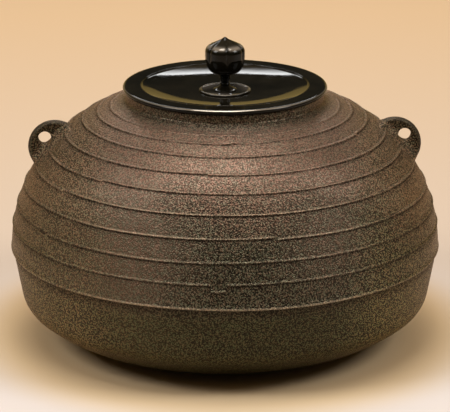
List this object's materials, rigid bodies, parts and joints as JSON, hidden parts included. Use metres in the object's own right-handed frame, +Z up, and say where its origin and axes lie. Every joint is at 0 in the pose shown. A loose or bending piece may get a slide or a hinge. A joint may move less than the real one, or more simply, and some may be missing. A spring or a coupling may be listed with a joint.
{
  "type": "tea kettle",
  "caption": "Squat round cast-iron tea kettle with raised lines round its shoulder, ring lugs, and a loose dished black bronze lid with a fruit-shaped knob.",
  "frame": {"origin": "centre of the flat base, on the surface that the kettle stands on", "axes": "+Z up through the knob, +X through the right lug, -Y towards the viewer"},
  "size_m": [0.2499, 0.2498, 0.1777],
  "materials": {
    "cast_skin": "sandy brown casting skin",
    "black_bronze": "black patina, polished",
    "bare_iron": "dark, forged",
    "lacquer": "baked lacquer"
  },
  "bodies": {
    "kettle": {"kettle_body": "cast_skin", "left_lug": "cast_skin", "right_lug": "cast_skin", "sounding_plate_1": "bare_iron", "sounding_plate_2": "bare_iron", "sounding_plate_3": "bare_iron", "sounding_plate_4": "bare_iron", "sounding_plate_5": "bare_iron", "lacquer_bed_1": "lacquer", "lacquer_bed_2": "lacquer", "lacquer_bed_3": "lacquer", "lacquer_bed_4": "lacquer", "lacquer_bed_5": "lacquer"},
    "lid": {"lid": "black_bronze", "knob_seat": "black_bronze", "knob": "black_bronze", "under_washer": "black_bronze"}
  },
  "joints": [
    {"name": "lid_lift", "type": "slide", "parent": "kettle", "child": "lid", "axis": [0, 0, 1], "range_m": [0, 0.15]}
  ]
}
